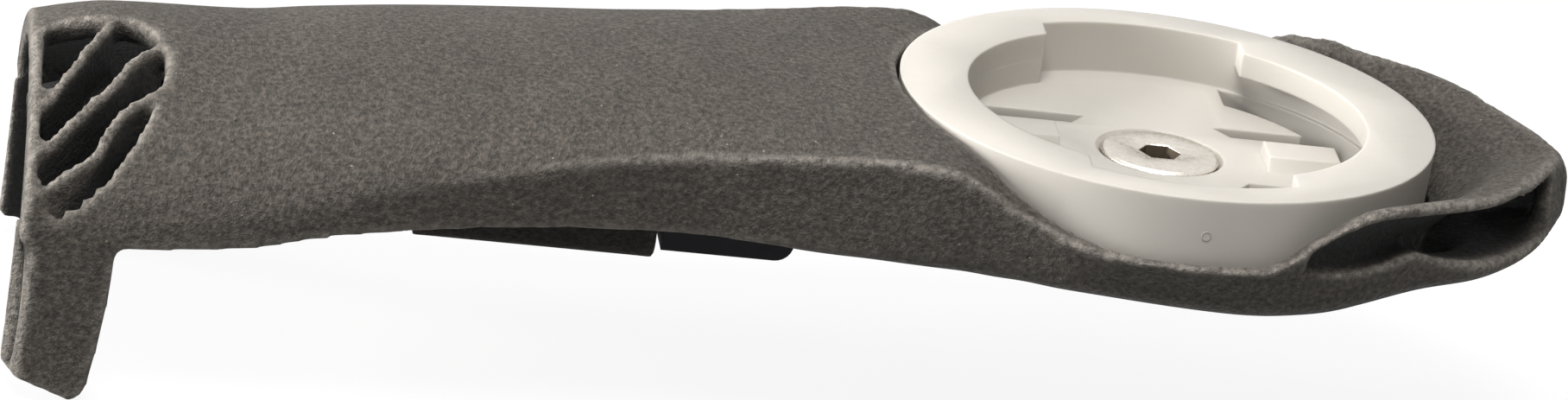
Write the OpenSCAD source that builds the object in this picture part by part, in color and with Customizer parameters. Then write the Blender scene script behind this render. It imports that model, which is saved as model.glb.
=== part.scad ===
// Bike computer mount: long one-piece arm with a screwed-in quarter-turn socket.
// Origin: centre of the socket's top rim. +X runs along the arm to the nose, +Z up.

/* [Socket insert] */
// Outer diameter of the round socket insert
insert_d = 35.5; // [34.5:0.1:36.5]
// Overall height of the socket insert
insert_h = 5.6; // [5.2:0.1:6.4]
// Radius lost by the outer wall from top to bottom
insert_draft = 0.15; // [0:0.05:0.3]
// Depth of the socket floor under the rim
floor_depth = 3.5; // [3.2:0.1:3.9]
// Inner radius of the two lips
lip_r = 13.25; // [12.8:0.05:13.6]
// Radius of the undercut and of the entry recesses
recess_r = 15.1; // [14.7:0.05:15.5]
// Half width of each entry recess
entry_half = 6.7; // [6:0.1:7.4]
// Thickness of the lips over the undercut
lip_t = 1.7; // [1.4:0.1:2]
// Half width of each spring finger
finger_half = 4.2; // [3.8:0.1:4.6]
// Width of the slot beside each finger
slot_w = 1.7; // [1.2:0.1:2]
// Reach of the fingers from the axis
finger_reach = 12; // [11.5:0.1:12.4]
// Height of the detent block on each finger
detent_h = 1.0; // [0.6:0.1:1.2]

/* [Socket screw] */
// Thread diameter of the socket screw
screw_d = 4; // [3.6:0.1:4.4]
// Head diameter of the socket screw
head_d = 8; // [7.6:0.1:8.4]
// Key size of the hexagon socket
hex_key = 2.5; // [2:0.1:3]
// Length of the socket screw with its head
screw_len = 7; // [6.6:0.1:7.2]
// Width across flats of the nut
nut_af = 7; // [6.6:0.1:7.4]
// Height of the nut
nut_h = 3.2; // [2.8:0.1:3.4]
// Radial clearance of bores and pockets
fit_gap = 0.25; // [0.2:0.05:0.35]

/* [Arm] */
// Distance from the socket axis back to the end face
rear_reach = 74.4; // [72:0.2:80]
// Width of the dome at the rear end
dome_w = 32; // [30:0.2:34]
// Width of the deck at its waist
waist_w = 27.9; // [26:0.1:29]
// Wall of the collar around the insert
collar_t = 1.05; // [0.9:0.05:1.3]
// Distance from the socket axis to the tip of the nose
nose_reach = 26.6; // [25.6:0.2:28]
// Crown height of the dome at the rear end, below the rim plane
dome_drop = 1.7; // [1.2:0.1:2.2]
// Depth of the dome's lower edge at the rear
foot_depth = 11.2; // [10.6:0.1:11.8]
// Depth of the belly at its lowest point under the socket
belly_depth = 10.5; // [10.4:0.1:11.2]
// Wall thickness of the hollow arm
wall_t = 1.6; // [1.3:0.1:2]
// Thickness of the two lips of the nose
nose_lip_t = 0.8; // [0.6:0.05:1]

/* [Rear tabs] */
// Depth of the tabs below the rim plane
tab_depth = 20.6; // [18:0.2:23]
// Length of the tabs along the arm
tab_len = 5.7; // [5:0.1:6.6]
// Thickness of the tabs
tab_t = 3.2; // [2.6:0.1:3.6]
// How far the tab's inner edge stands behind its outer edge
tab_bevel = 0.8; // [0.5:0.1:1.2]

/* [Ribbed windows] */
// Length of the windows along the arm
window_len = 7.4; // [6.4:0.1:8.4]
// Width of the rim behind the windows
window_rim = 0.9; // [0.7:0.1:1.3]
// Thickness of the ribs in the windows
rib_t = 0.75; // [0.6:0.05:1]
// Depth of the windows under the skin
window_depth = 3.0; // [2:0.1:3.6]

/* [Keel] */
// Half width of the keel under the arm
keel_half = 8; // [7:0.1:9]
// Start of the keel behind the socket axis
keel_start = 49; // [47.6:0.1:50]
// Length of the keel's boss
keel_len = 15.8; // [15:0.1:16.4]
// Depth of the keel's boss below the rim plane
keel_depth = 11.2; // [10.6:0.1:11.8]
// Length of the smooth plate
plate_len = 8.6; // [8:0.1:9.2]
// Thickness of the smooth plate
plate_t = 2.4; // [1.8:0.1:2.6]
// Gap between the keel's boss and the smooth plate
plate_gap = 0.3; // [0.2:0.05:0.6]
// Step of the plate's face up from the boss's face
plate_step = 0.6; // [0.3:0.1:1]
// Thread diameter of the plate's screws
plate_screw_d = 2.5; // [2.2:0.1:3]
// Length of the plate's screws with their heads
plate_screw_len = 6; // [5:0.1:7]
// Spacing of the plate's screws across the arm
plate_pitch = 9; // [8:0.1:10]
// Outer diameter of the threaded inserts
bush_d = 5.6; // [5.2:0.1:6]
// Thread diameter of the threaded inserts
bush_bore = 4; // [3.6:0.1:4.4]
// Length of the threaded inserts
bush_len = 5; // [4:0.1:5.6]
// Spacing of the threaded inserts along the arm
bush_pitch = 8; // [7.4:0.1:8.4]

/* [Quality] */
// Facets of the round parts
facets = 64; // [48:4:96]

/* [Hidden] */
$fn = facets;
insert_r = insert_d / 2;
pocket_r = insert_r + fit_gap;
collar_r = pocket_r + collar_t;
head_h = head_d / 2 - screw_d / 2;
head_top = -floor_depth + 0.1;
boss_t = 1.6;
nut_top = -insert_h - boss_t;
front_x = nose_reach;
rear_x = -rear_reach;
plate_end = -keel_start + keel_len + plate_gap;
plate_z = -keel_depth + plate_step;
keel_top = 2.2;
window_low = -foot_depth + 1.3;
undercut_from = -10;
undercut_to = 64;
eps = 0.02;

// Stations of the arm: x, crest half width, crown z, crest z, deck power,
// foot half width, foot z, belly z
function stations() = [
    [rear_x, dome_w / 2, -dome_drop - 1.4, -foot_depth + 0.3, 0.5,
        dome_w / 2, -foot_depth, -foot_depth - 0.1],
    [rear_x + 2.4, dome_w / 2, -dome_drop - 0.6, -foot_depth + 0.3, 0.5,
        dome_w / 2, -foot_depth, -foot_depth - 0.1],
    [rear_x + 5.2, dome_w / 2, -dome_drop, -foot_depth + 0.3, 0.5,
        dome_w / 2, -foot_depth, -foot_depth - 0.1],
    [-60, dome_w / 2, -1.55, -9.2, 0.5, dome_w / 2, -10.2, -10.3],
    [-56, dome_w / 2 - 0.1, -1.15, -7.7, 0.52, dome_w / 2 - 0.1, -9.2, -9.3],
    [-52, dome_w / 2 - 0.35, -0.85, -6.1, 0.56, dome_w / 2 - 0.4, -8.5, -8.6],
    [-48, dome_w / 2 - 0.7, -0.55, -4.95, 0.6, dome_w / 2 - 0.9, -8.05, -8.15],
    [-44, waist_w / 2 + 0.95, -0.3, -3.95, 0.66, waist_w / 2 + 0.6, -7.7, -7.8],
    [-40, waist_w / 2 + 0.5, -0.05, -3.1, 0.74, waist_w / 2 + 0.1, -7.5, -7.6],
    [-36, waist_w / 2 + 0.15, 0.1, -2.4, 0.82, waist_w / 2 - 0.25, -7.4, -7.5],
    [-32, waist_w / 2, 0.2, -1.85, 0.9, waist_w / 2 - 0.4, -7.3, -7.4],
    [-28, waist_w / 2 + 0.15, 0.1, -1.42, 1, waist_w / 2 - 0.2, -7.3, -7.6],
    [-24, waist_w / 2 + 0.45, 0.1, -0.98, 1, waist_w / 2 + 0.1, -7.1, -9],
    [-20, waist_w / 2 + 0.9, 0.1, -0.6, 1, waist_w / 2 + 0.5, -6.9, -9.3],
    [-16, waist_w / 2 + 1.65, 0.05, -0.6, 1, waist_w / 2 + 0.9, -6.8, -9.5],
    [-14, collar_r - 3.1, 0, -1.2, 1, collar_r - 4, -6.7, -9.6],
    [-12, collar_r - 2.8, -0.3, -2.4, 1, collar_r - 3.6, -6.7, -9.7],
    [-10, collar_r - 2.2, -1.2, -3.1, 1, collar_r - 3.2, -6.6, -9.8],
    [-8, collar_r - 1.3, -2.5, -3.75, 1, collar_r - 2.6, -6.6, -9.9],
    [-5, collar_r - 0.45, -3.6, -4.15, 1, collar_r - 2.2, -6.6, -10.1],
    [-1, collar_r, -3.8, -4.3, 1, collar_r - 2, -6.7, -belly_depth + 0.1],
    [3, collar_r - 0.1, -3.8, -4.25, 1, collar_r - 2, -6.9, -belly_depth],
    [5.5, collar_r - 0.5, -3.5, -3.8, 1, collar_r - 2.2, -6.9, -belly_depth],
    [8, collar_r - 0.8, -1.75, -1.8, 1, collar_r - 2.7, -6.7, -belly_depth + 0.1],
    [10, collar_r - 1.15, -0.55, -0.6, 1, collar_r - 3.2, -6.5, -10.1],
    [12, collar_r - 2.2, 0, -0.05, 1, collar_r - 4, -6.1, -9.7],
    [16, collar_r - 4.5, 0, -0.05, 1, collar_r - 5.8, -5.3, -8.8],
    [20, collar_r - 7.2, -0.15, -0.2, 1, collar_r - 7.6, -5.3, -7.8],
    [23, collar_r - 11.1, -0.35, -0.4, 1, collar_r - 10.9, -5.5, -7.1],
    [25, collar_r - 14.8, -0.5, -0.55, 1, collar_r - 14, -5.5, -6.6],
    [front_x - 0.6, 2.2, -0.7, -0.75, 1, 3.2, -5.2, -6.1],
    [front_x, 0.9, -0.9, -0.95, 1, 2, -4.9, -5.7],
    [front_x + 0.7, 0.5, -2.2, -2.3, 1, 0.8, -4.4, -4.8]
];

// Cubic interpolation of column k of a table at x
function slope(t, i, k) =
    i <= 0 ? (t[1][k] - t[0][k]) / (t[1][0] - t[0][0]) :
    i >= len(t) - 1 ?
        (t[len(t) - 1][k] - t[len(t) - 2][k]) / (t[len(t) - 1][0] - t[len(t) - 2][0]) :
        (t[i + 1][k] - t[i - 1][k]) / (t[i + 1][0] - t[i - 1][0]);
function span_at(t, x, i = 0) = i >= len(t) - 2 || x < t[i + 1][0] ? i : span_at(t, x, i + 1);
function at(t, x, k) = let (
    i = span_at(t, x),
    h = t[i + 1][0] - t[i][0],
    u = (x - t[i][0]) / h
) t[i][k] * (2 * u * u * u - 3 * u * u + 1) + t[i + 1][k] * (3 * u * u - 2 * u * u * u)
    + h * slope(t, i, k) * (u * u * u - 2 * u * u + u)
    + h * slope(t, i + 1, k) * (u * u * u - u * u);

// Closed section of the arm at x, shrunk by e on the deck and the flanks
function section(t, x, e = 0, low = 0) = let (
    w = at(t, x, 1) - e,
    zt = at(t, x, 2) - e,
    zc = min(at(t, x, 3) - e, zt - 0.02),
    q = at(t, x, 4),
    fw = at(t, x, 5) - e,
    fz = low < 0 ? low : at(t, x, 6),
    bz = low < 0 ? low - 0.1 : at(t, x, 7),
    nd = 9,
    nb = 6
) concat(
    [for (i = [-nd:nd]) let (s = sin(90 * i / nd))
        [x, w * s, zc + (zt - zc) * pow(max(0, 1 - s * s), q)]],
    [for (i = [-nb:nb]) let (s = -sin(90 * i / nb))
        [x, fw * s, fz - (fz - bz) * pow(max(0, 1 - s * s), 0.5)]]
);

// Solid through a list of closed sections with equal numbers of points
module skin(rows) {
    n = len(rows[0]);
    m = len(rows);
    polyhedron(
        points = [for (r = rows) each r],
        faces = concat(
            [[for (j = [n - 1:-1:0]) j]],
            [for (i = [0:m - 2]) for (j = [0:n - 1]) each [
                [i * n + j, i * n + (j + 1) % n, (i + 1) * n + j],
                [i * n + (j + 1) % n, (i + 1) * n + (j + 1) % n, (i + 1) * n + j]
            ]],
            [[for (j = [0:n - 1]) (m - 1) * n + j]]
        ),
        convexity = 8
    );
}

function backward(v) = [for (i = [len(v) - 1:-1:0]) v[i]];
function steps(a, b, n) = [for (i = [0:n]) a + (b - a) * i / n];

// Outline of the nose: points with their lip heights, near side round to far side
function nose_xs() = [5.5, 7, 8.5, 10, 11, 12, 14, 16, 18, 20, 22, 24, 25.2, 26.1];
function nose_half(t) = [for (x = nose_xs()) [x, at(t, x, 1), at(t, x, 3)]];
function nose_line(t) = let (h = nose_half(t)) concat(
    [for (p = h) [p[0], -p[1], p[2]]],
    [[front_x, 0, -0.95]],
    [for (i = [len(h) - 1:-1:0]) [h[i][0], h[i][1], h[i][2]]]
);
function toward(p, r) = let (l = norm([p[0], p[1]])) [p[0] * r / l, p[1] * r / l];

// Bowl cut between the insert and the nose's upper lip
function bowl_depth(s, z) = -4.6 + (z + 4.6) * pow(max(0, min(1, s)), 2);
module bowl_cut(t) {
    skin([for (p = nose_line(t)) let (
        r = norm([p[0], p[1]]),
        a = pocket_r - 0.3,
        b = max(r - nose_lip_t, a + 0.1)
    ) concat(
        [for (s = steps(0, 1, 6)) let (q = toward(p, a + (b - a) * s))
            [q[0], q[1], bowl_depth(s, p[2] - 0.05)]],
        [[toward(p, b)[0], toward(p, b)[1], 6], [toward(p, a)[0], toward(p, a)[1], 6]]
    )]);
}

// Height of the nose's lower lip along its outline
function low_lip(x) = at([
    [5, -4.5], [8, -4.45], [12, -4.4], [14, -4.1], [15.8, -3.55], [17, -4], [19, -4.5],
    [22, -4.9], [25, -5.15], [26, -4.4], [27.5, -2.6]
], x, 1);

// Open mouth between the two lips of the nose
module mouth_cut(t) {
    line = nose_line(t);
    n = len(line);
    skin([for (i = [2:n - 3]) let (
        p = line[i],
        r = norm([p[0], p[1]]),
        tip = abs(p[1]) < 3.2,
        k = max(0, min(1, (p[0] - 11) / 3)),
        b = tip ? r - 1.1 : r + 2.5,
        c = max(r - nose_lip_t - 1.2, pocket_r + 0.6),
        a = c - 0.3 - k * (c - 0.3 - min(pocket_r - 0.6, r - 3)),
        e = max(c + 0.1, min(b - 0.1, r - 0.5)),
        zl = min(low_lip(p[0]), p[2] - nose_lip_t - 0.1),
        zu = p[2] - nose_lip_t - 0.05,
        zf = min(zl - 0.05, max(zl - 0.1 - 2.2 * k, -7.6 + (p[0] - 16) * 0.27))
    ) backward(concat(
        [let (q = toward(p, a)) [q[0], q[1], max(zf + 0.05, mouth_top(a, r, p[2]))]],
        [for (s = [0.4, 0.75]) let (l = a + (c - a) * s, q = toward(p, l))
            [q[0], q[1], max(zf + 0.07, mouth_top(l, r, p[2]))]],
        [let (q = toward(p, c)) [q[0], q[1], max(mouth_top(c, r, p[2]), zl + 0.1)]],
        [let (q = toward(p, e)) [q[0], q[1], zu]],
        [let (q = toward(p, b)) [q[0], q[1], zu]],
        [let (q = toward(p, b)) [q[0], q[1], zl]],
        [let (q = toward(p, c)) [q[0], q[1], zl]],
        [let (q = toward(p, a + (c - a) * 0.6)) [q[0], q[1], zf]],
        [let (q = toward(p, a)) [q[0], q[1], zf]]
    ))]);
}

// Underside of the nose's upper lip at radius l, towards an outline point at r and z
function mouth_top(l, r, z) = l < pocket_r + 0.5 ? -insert_h - nose_lip_t :
    bowl_depth((l - pocket_r + 0.3) / (r - nose_lip_t - pocket_r + 0.3), z) - nose_lip_t - 0.05;

// Hollow under the rear of the arm
module hollow_cut(t) {
    xs = [rear_x - 3, rear_x + 1, -68, -64, -60, -56, -52, -48, -44, -40, -36, -32, -28, -24.6];
    skin([for (x = xs)
        [for (p = section(t, max(x, rear_x), wall_t, -30)) [x, p[1], p[2]]]]);
}

// A piece and its mirror image at the other side
module both() {
    children();
    mirror([0, 1, 0]) children();
}

// Tab at one side of the rear end, with its hollow rear face
module tab() {
    w = dome_w / 2;
    x0 = rear_x + 0.6;
    x1 = x0 + tab_len;
    top = -foot_depth + 0.5;
    difference() {
        skin([for (s = [0, 0.2, 0.4, 0.6, 0.8, 0.9, 0.96, 1]) let (
            z = top + (-tab_depth - top) * s,
            lean = 0.75 * s * s,
            nose = x1 - 1.1 * s * s - 0.1 - (s > 0.95 ? (s - 0.95) * 14 : 0),
            y0 = w - 0.15 * s
        ) [
            [x0 - tab_bevel, y0 - tab_t, z],
            [nose - 0.2, y0 - tab_t * 0.6, z - 1.1 * s],
            [nose, y0, z - 1.1 * s],
            [x0 - lean * 0.3, y0, z]
        ]]);
        translate([x0 - 1.8, w - tab_t / 2 - 0.1, (top - tab_depth) / 2 - 0.6])
            scale([2.2, tab_t / 2 - 0.55, (tab_depth + top) / 2 - 1.1])
                sphere(1, $fn = 32);
    }
}

// Window through the dome's skin at one side, without its ribs
module window_prism(x0, x1, low) {
    translate([0, 0, low])
        linear_extrude(-low + 2)
            polygon(window_plan(x0, x1));
}

// Dome sunk by a depth, down to a low plane
module dome_core(t, depth, low, e = 0) {
    intersection() {
        translate([0, 0, -depth])
            skin([for (x = steps(rear_x + 0.2, rear_x + window_rim + window_len + 1.2, 3))
                section(t, x, e, -foot_depth - 6)]);
        translate([rear_x - 1, 0, low])
            cube([window_len + window_rim + 4, dome_w, foot_depth + 2]);
    }
}

// Outline of a window in plan
function window_plan(x0, x1) = [
    [x0 + 0.6, 0.4], [x0 + 4.2, 0.3], [x1 - 1.4, 0.8],
    [x1 - 0.3, 3], [x1, 5.2], [x1 - 0.45, 8.3], [x1 - 1.5, 11.2],
    [x1 - 3.2, 13.4], [x1 - 5.2, 14.6], [x0 + 0.8, 14.9],
    [x0 + 0.15, 14], [x0, 7.7], [x0 + 0.15, 2.2]
];

// Ribs that cross a window, as curved walls from its floor to near the skin
module rib(pts) {
    for (i = [0:len(pts) - 2]) {
        a = pts[i];
        b = pts[i + 1];
        d = [b[0] - a[0], b[1] - a[1]];
        n = [-d[1], d[0]] / norm(d) * rib_t / 2;
        linear_extrude(foot_depth * 2, center = true)
            polygon([
                [a[0] + n[0], (a[1] + n[1])], [b[0] + n[0], (b[1] + n[1])],
                [b[0] - n[0], (b[1] - n[1])], [a[0] - n[0], (a[1] - n[1])]
            ]);
        translate([b[0], b[1], 0])
            cylinder(h = foot_depth * 2, r = rib_t / 2, center = true, $fn = 12);
    }
}
module window_ribs(t) {
    x0 = rear_x + window_rim;
    intersection() {
        dome_core(t, 0.5, window_low);
        union() {
            rib([[x0 - 0.3, 9.2], [x0 + 1.4, 6.2], [x0 + 2.8, 2.6], [x0 + 3.8, -0.2]]);
            rib([[x0 - 0.4, 13.6], [x0 + 1, 11.8], [x0 + 3, 9.6], [x0 + 4.6, 7.4],
                [x0 + 5.8, 4.6], [x0 + 7, 2.6]]);
            rib([[x0 - 0.2, 15.2], [x0 + 2, 13.9], [x0 + 3.8, 12.2], [x0 + 4.6, 10.3],
                [x0 + 5.85, 8.7], [x0 + 7.2, 7]]);
        }
    }
}

// Floor under a window, held by the dome's walls
module window_floor(t) {
    difference() {
        dome_core(t, window_depth, window_low);
        dome_core(t, window_depth + 1.1, window_low - 1, 0.3);
    }
}

// Whole outer form of the arm, solid
module arm_outer(t) {
    xs = concat(
        steps(rear_x, -64, 4), steps(-61, -17, 20), steps(-15.5, -5, 10),
        steps(-4, 5, 5), steps(6, 12, 6), steps(13.5, 25, 7),
        [front_x - 0.9, front_x - 0.4, front_x, front_x + 0.4, front_x + 0.7]
    );
    skin([for (x = xs) section(t, x)]);
}

// Boss under the middle of the arm, with a lower step that carries the smooth plate
module keel_boss() {
    translate([-keel_start, -keel_half, -keel_depth])
        cube([keel_len, keel_half * 2, keel_depth - keel_top]);
    translate([-keel_start + keel_len - 1, -keel_half, plate_z + plate_t])
        cube([plate_gap + plate_len + 1.6, keel_half * 2, -plate_z - plate_t - keel_top]);
}

module arm_body() {
    t = stations();
    color([0.16, 0.15, 0.14])
    difference() {
        resize([0, 0, 0]) difference() {
            union() {
                difference() {
                    arm_outer(t);
                    hollow_cut(t);
                    mirror([0, 1, 0])
                        window_prism(rear_x + window_rim, rear_x + window_rim + window_len,
                            window_low);
                }
                mirror([0, 1, 0]) {
                    window_floor(t);
                    window_ribs(t);
                }
                both() tab();
                keel_boss();
            }
            bowl_cut(t);
            mouth_cut(t);
            // seat of the keel plate
            translate([plate_end - plate_gap, -keel_half - 1, plate_z - 1])
                cube([plate_len + plate_gap * 2, keel_half * 2 + 2, plate_t + 1]);
        }
        // pocket of the socket insert
        translate([0, 0, -insert_h])
            cylinder(h = insert_h + 4, r = pocket_r, $fn = facets * 2);
        // bore of the socket screw and trap of its nut
        translate([0, 0, -insert_h - 6])
            cylinder(h = 8, r = screw_d / 2 + fit_gap);
        translate([0, 0, nut_top - 6])
            cylinder(h = 6, r = nut_r() + fit_gap, $fn = 6);
        bush_places() translate([0, 0, -keel_depth - 1])
            cylinder(h = bush_len + 1, r = bush_d / 2 + eps);
        bush_places() translate([0, 0, -keel_depth - 1])
            cylinder(h = bush_len + 2.2, r = bush_bore / 2 + fit_gap);
        plate_places() translate([0, 0, plate_z])
            cylinder(h = plate_screw_len + 0.4, r = plate_screw_d / 2 + eps, $fn = 32);
    }
}

function nut_r() = nut_af / 2 / cos(30);
module bush_places() {
    for (i = [-1, 1])
        translate([-keel_start + keel_len / 2 + i * bush_pitch / 2, 0, 0])
            children();
}
module plate_places() {
    for (i = [-1, 1])
        translate([plate_end + plate_len / 2, i * plate_pitch / 2, 0])
            children();
}

// Two wedges in plan that span the undercuts, opposite each other
module undercut_wedges() {
    for (i = [0, 1]) rotate([0, 0, i * 180])
        polygon([
            [0, 0], [insert_d * cos(undercut_from), insert_d * sin(undercut_from)],
            [insert_d, insert_d], [insert_d * cos(undercut_to), insert_d * sin(undercut_to)]
        ]);
}

// Plan of the opening between the lips, with the entry recesses at both sides
module entry_plan() {
    circle(r = lip_r, $fn = facets * 2);
    intersection() {
        circle(r = recess_r, $fn = facets * 2);
        square([entry_half * 2, insert_d], center = true);
    }
}

// Plan of the undercut under the lips
module undercut_plan() {
    intersection() {
        circle(r = recess_r, $fn = facets * 2);
        union() {
            undercut_wedges();
            square([entry_half * 2, insert_d], center = true);
        }
    }
}

// Plan of the openings in the floor that free the spring fingers
module finger_plan() {
    for (i = [0, 1]) rotate([0, 0, i * 180]) {
        for (m = [-1, 1]) finger_slot(m);
        intersection() {
            difference() {
                circle(r = recess_r - 0.3, $fn = facets * 2);
                circle(r = finger_reach, $fn = facets * 2);
            }
            translate([5.8, -finger_half - slot_w])
                square([insert_d, recess_r + finger_half + slot_w]);
        }
    }
}

module twist_lock_insert() {
    color([0.87, 0.86, 0.83])
    difference() {
        union() {
            difference() {
                translate([0, 0, -insert_h])
                    cylinder(h = insert_h, r1 = insert_r - insert_draft, r2 = insert_r,
                        $fn = facets * 2);
                translate([0, 0, -lip_t - 0.1])
                    linear_extrude(lip_t + 1.1) entry_plan();
                translate([0, 0, -floor_depth])
                    linear_extrude(floor_depth) circle(r = lip_r - 0.02, $fn = facets * 2);
                translate([0, 0, -floor_depth])
                    linear_extrude(floor_depth - lip_t) undercut_plan();
            }
            // detent blocks on the fingers
            for (i = [0, 1]) rotate([0, 0, i * 180])
                translate([7, -1.9, -floor_depth - 0.2])
                    detent();
        }
        // slots beside the fingers and openings at their ends
        translate([0, 0, -insert_h - 1])
            linear_extrude(insert_h - floor_depth + 1 + 0.1) finger_plan();
        // bore and countersink of the screw
        rotate_extrude()
            polygon([
                [0, -insert_h - 1], [screw_d / 2 + fit_gap, -insert_h - 1],
                [screw_d / 2 + fit_gap, head_top - head_h - 0.3],
                [head_d / 2 + fit_gap, head_top - 0.15], [head_d / 2 + fit_gap, 1], [0, 1]
            ]);
    }
}

module detent() {
    rotate([90, 0, 90])
        linear_extrude(4.8)
            polygon([[0, 0], [3.8, 0], [3.3, detent_h + 0.2], [0.5, detent_h + 0.2]]);
}

module finger_slot(m) {
    polygon([
        [4.4, m * (finger_half + slot_w * 0.9)], [5.4, m * (finger_half + 0.05)],
        [finger_reach + 0.6, m * finger_half], [13, m * (finger_half + slot_w)],
        [5, m * (finger_half + slot_w)]
    ]);
}

// Countersunk screw with a hexagon socket, tip down, top of the head at z = 0
module countersunk(d, hd, len, key) {
    h = (hd - d) / 2;
    difference() {
        rotate_extrude()
            polygon([
                [0, 0], [hd / 2 - 0.25, 0], [hd / 2, -0.25], [d / 2, -h - 0.15],
                [d / 2, -len + 0.4], [d / 2 - 0.4, -len], [0, -len]
            ]);
        translate([0, 0, -h * 0.85])
            cylinder(h = h, r = key / 2 / cos(30), $fn = 6);
    }
}

module insert_screw() {
    color([0.78, 0.74, 0.7])
    translate([0, 0, head_top])
        countersunk(screw_d, head_d, screw_len, hex_key);
}

module insert_nut() {
    color([0.7, 0.7, 0.7])
    translate([0, 0, nut_top - nut_h])
        difference() {
            cylinder(h = nut_h, r = nut_r(), $fn = 6);
            translate([0, 0, -1])
                cylinder(h = nut_h + 2, r = screw_d / 2 + eps);
        }
}

module keel_plate() {
    color([0.1, 0.1, 0.12])
    difference() {
        translate([plate_end, -keel_half, plate_z])
            rounded_plate(plate_len, keel_half * 2, plate_t, 1.2);
        plate_places() translate([0, 0, plate_z - 1])
            cylinder(h = plate_t + 2, r = plate_screw_d / 2 + fit_gap, $fn = 32);
        plate_places() translate([0, 0, plate_z - eps])
            cylinder(h = plate_screw_d / 2 + 0.35, r1 = plate_screw_d + fit_gap + 0.1,
                r2 = plate_screw_d / 2 + fit_gap, $fn = 48);
    }
}

module rounded_plate(l, w, h, r) {
    translate([0, w, 0]) rotate([90, 0, 0])
        linear_extrude(w)
            polygon(concat(
                [[0, h], [0, 0]],
                [for (a = [0:15:90]) [l - r + r * sin(a), r - r * cos(a)]],
                [[l, h]]
            ));
}

module plate_screws() {
    color([0.3, 0.3, 0.31])
    plate_places() translate([0, 0, plate_z + 0.05])
        mirror([0, 0, 1])
            countersunk(plate_screw_d, plate_screw_d * 2, plate_screw_len - 0.3, 1.5);
}

module thread_inserts() {
    color([0.75, 0.6, 0.3])
    bush_places() translate([0, 0, -keel_depth])
        difference() {
            cylinder(h = bush_len, r = bush_d / 2);
            translate([0, 0, -1]) cylinder(h = bush_len + 2, r = bush_bore / 2);
        }
}

arm_body();
twist_lock_insert();
insert_screw();
insert_nut();
keel_plate();
plate_screws();
thread_inserts();
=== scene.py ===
# %% [markdown]
# A handlebar mount for a bike computer. A long arm of sintered black nylon carries a grey
# moulded socket at one end, where a quarter turn locks the computer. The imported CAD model
# is loaded first: it is the frame that every finer piece is laid over, in metres.

import math

import bmesh
import bpy
import numpy as np
from mathutils import Matrix, Vector
from mathutils.bvhtree import BVHTree


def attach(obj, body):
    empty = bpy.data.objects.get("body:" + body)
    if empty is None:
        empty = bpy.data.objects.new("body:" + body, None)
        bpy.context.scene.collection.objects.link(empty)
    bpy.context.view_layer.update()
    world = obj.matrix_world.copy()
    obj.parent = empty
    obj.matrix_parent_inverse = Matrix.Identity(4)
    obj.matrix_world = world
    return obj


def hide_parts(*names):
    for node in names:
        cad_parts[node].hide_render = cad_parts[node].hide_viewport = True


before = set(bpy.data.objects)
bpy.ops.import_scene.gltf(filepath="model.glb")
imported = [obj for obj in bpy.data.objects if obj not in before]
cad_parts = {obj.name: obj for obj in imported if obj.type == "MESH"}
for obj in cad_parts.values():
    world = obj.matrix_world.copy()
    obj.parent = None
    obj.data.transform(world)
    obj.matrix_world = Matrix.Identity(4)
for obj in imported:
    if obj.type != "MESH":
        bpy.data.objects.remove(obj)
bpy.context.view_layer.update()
MM = 0.001
print("nodes in the frame:", sorted(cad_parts))

# %% [markdown]
# The photograph was taken with a long lens from about half a metre, slightly above the
# part and from its side. The camera's place and the directions it faces were worked out
# from the ellipses of the socket's rings, so they are written here as a position and a turn.

# %% Camera
CAMERA_PLACE = Vector((-96.24, -502.82, 177.74)) * MM
CAMERA_RIGHT = Vector((0.9865, -0.0906, 0.1360)).normalized()
CAMERA_AHEAD = Vector((0.1330, 0.9289, -0.3456)).normalized()
LENS_MM = 9555.05 * 36.0 / 1816.0


def add_camera():
    ahead = CAMERA_AHEAD
    down = ahead.cross(CAMERA_RIGHT).normalized()
    right = down.cross(ahead)
    lens = bpy.data.cameras.new("photo_camera")
    lens.sensor_fit = "HORIZONTAL"
    lens.sensor_width = 36.0
    lens.lens = LENS_MM
    lens.clip_start = 0.01
    lens.clip_end = 20.0
    view = bpy.data.objects.new("photo_camera", lens)
    turn = Matrix((right, -down, -ahead)).transposed().to_4x4()
    view.matrix_world = Matrix.Translation(CAMERA_PLACE) @ turn
    bpy.context.scene.collection.objects.link(view)
    bpy.context.scene.camera = view


add_camera()
print("camera lens in mm:", round(LENS_MM, 1))

# %% [markdown]
# Materials are built from nodes. A small helper keeps each recipe short: it makes a
# material with a Principled shader, and gives the object's own coordinates in millimetres,
# so that a grain of 0.4 mm is written as 0.4.


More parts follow.
